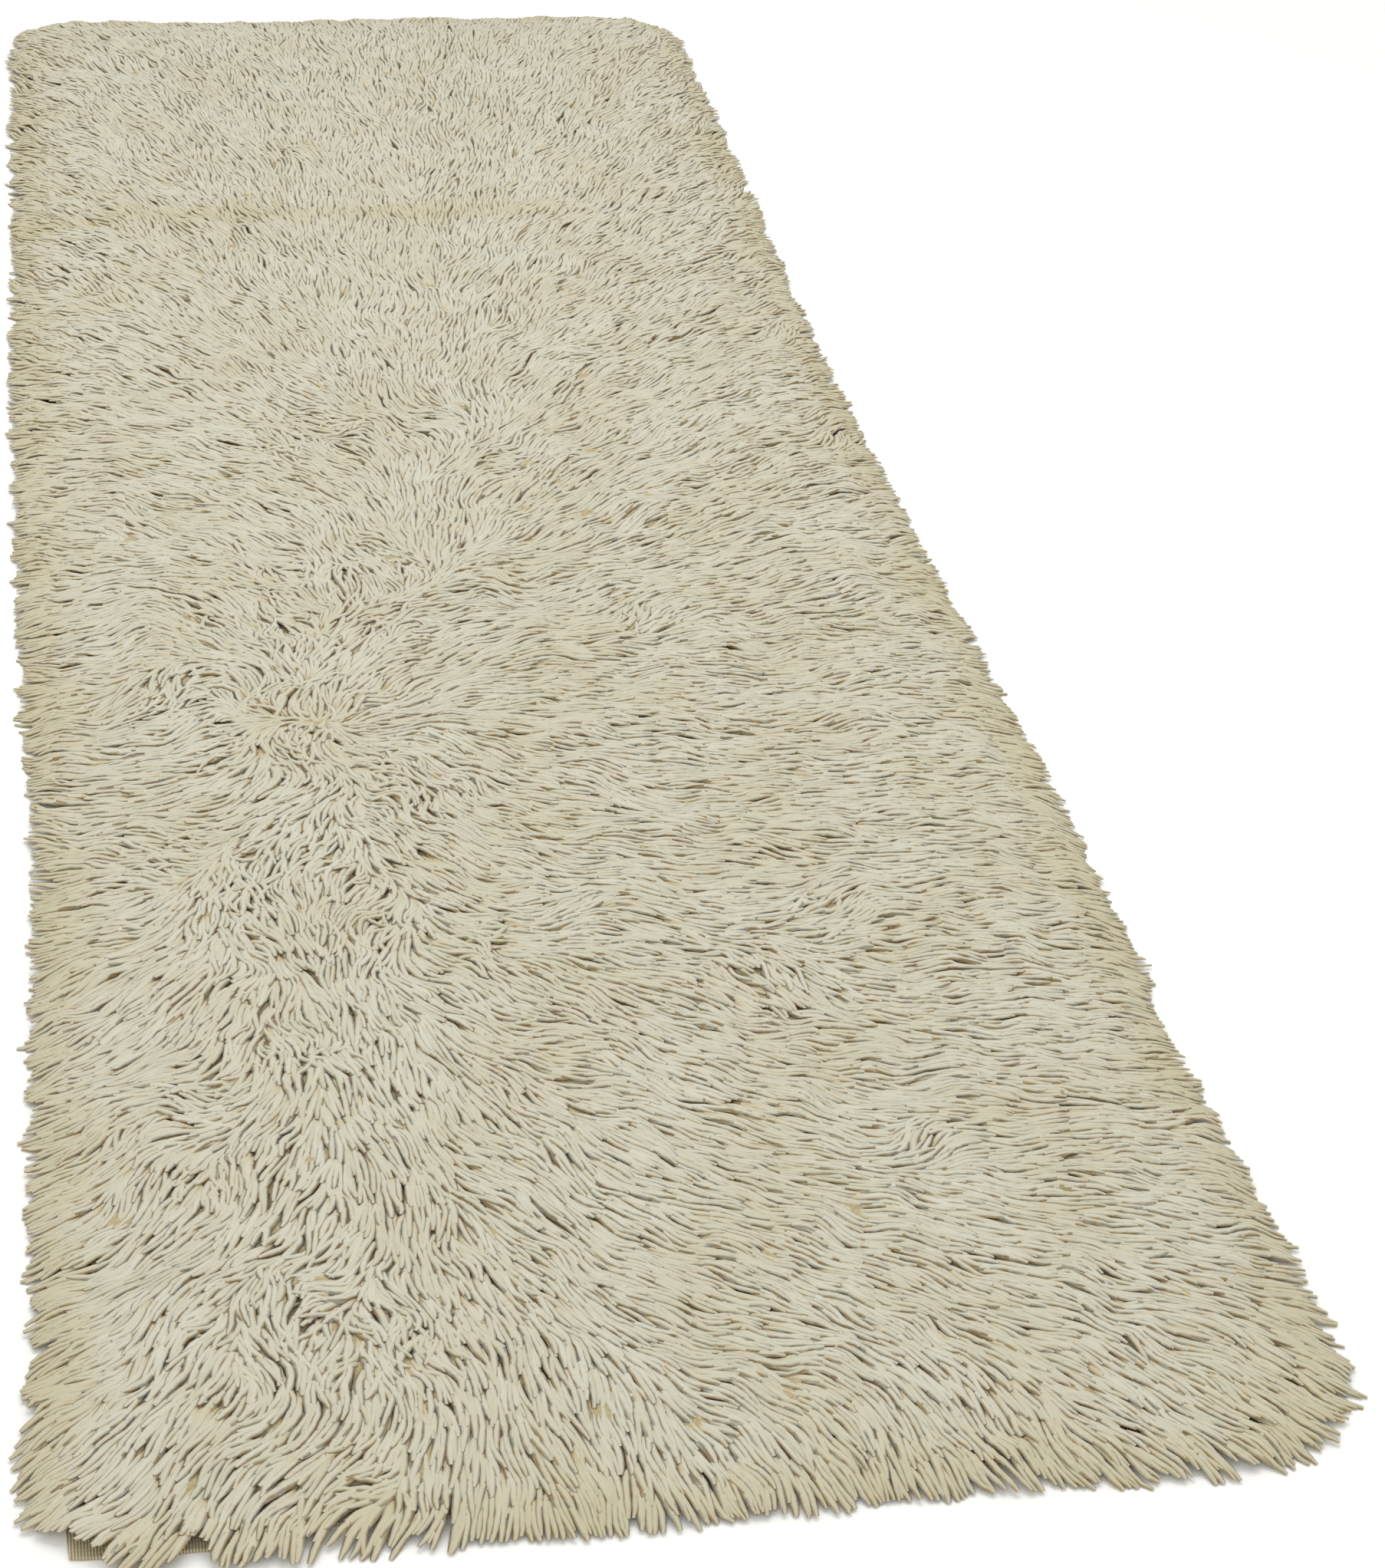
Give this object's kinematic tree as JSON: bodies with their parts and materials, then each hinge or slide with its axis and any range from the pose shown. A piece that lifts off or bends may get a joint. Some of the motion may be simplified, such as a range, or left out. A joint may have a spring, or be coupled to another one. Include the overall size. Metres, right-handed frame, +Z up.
{
  "type": "tulu rug",
  "caption": "Long narrow wool rug lying flat: a woven ground with flat-woven ends and a thick pile of long combed locks.",
  "frame": {"origin": "middle of the rug's plan, on the underside of the woven ground", "axes": "+X across the rug, +Y along it towards the end that is far off in the picture, +Z up, out of the pile"},
  "size_m": [0.8876, 2.8322, 0.0362],
  "materials": {
    "ground_weave": "undyed wool, flat woven",
    "wool_pile": "undyed cream wool locks, soft dull sheen"
  },
  "bodies": {
    "root": {"ground_weave": "ground_weave", "pile": "wool_pile"}
  },
  "joints": []
}
